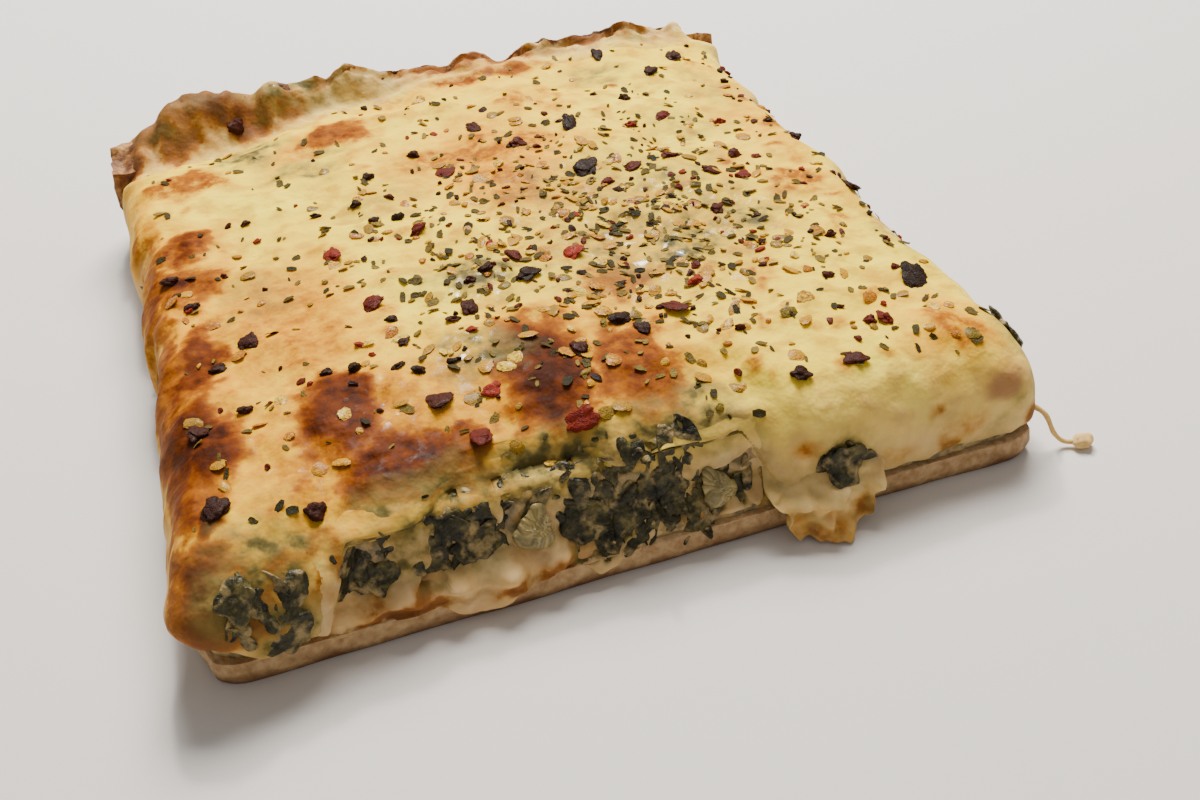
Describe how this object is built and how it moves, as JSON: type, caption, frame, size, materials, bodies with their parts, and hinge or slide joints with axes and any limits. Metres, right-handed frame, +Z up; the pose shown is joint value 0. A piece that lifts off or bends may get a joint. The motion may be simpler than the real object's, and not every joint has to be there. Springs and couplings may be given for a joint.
{
  "type": "square cut of pan pizza",
  "caption": "Square cut of spinach and artichoke pan pizza: thin baked crust with a lumpy rim, creamy green filling and browned melted cheese that hangs over the cut sides.",
  "frame": {"origin": "middle of the flat underside of the crust", "axes": "+Z up out of the cheese, +X along the front cut to the right, +Y from the front cut towards the baked rim"},
  "size_m": [0.1382, 0.1387, 0.0275],
  "materials": {
    "crust": "baked dough, matte",
    "filling": "creamy, slightly wet",
    "cheese": "oily melted cheese",
    "spinach": "wet cooked leaf",
    "artichoke": "wet artichoke heart"
  },
  "bodies": {
    "root": {"crust": "crust", "filling": "filling", "cheese": "cheese", "spinach_leaf_01": "spinach", "spinach_leaf_02": "spinach", "spinach_leaf_03": "spinach", "spinach_leaf_04": "spinach", "spinach_leaf_05": "spinach", "spinach_leaf_06": "spinach", "spinach_leaf_07": "spinach", "spinach_leaf_08": "spinach", "spinach_leaf_09": "spinach", "spinach_leaf_10": "spinach", "spinach_leaf_11": "spinach", "spinach_leaf_12": "spinach", "spinach_leaf_13": "spinach", "spinach_leaf_14": "spinach", "spinach_leaf_15": "spinach", "spinach_leaf_16": "spinach", "spinach_leaf_17": "spinach", "spinach_leaf_18": "spinach", "spinach_leaf_19": "spinach", "spinach_leaf_20": "spinach", "artichoke_wedge_01": "artichoke", "artichoke_wedge_02": "artichoke", "artichoke_wedge_03": "artichoke", "artichoke_wedge_04": "artichoke", "artichoke_wedge_05": "artichoke"}
  },
  "joints": []
}
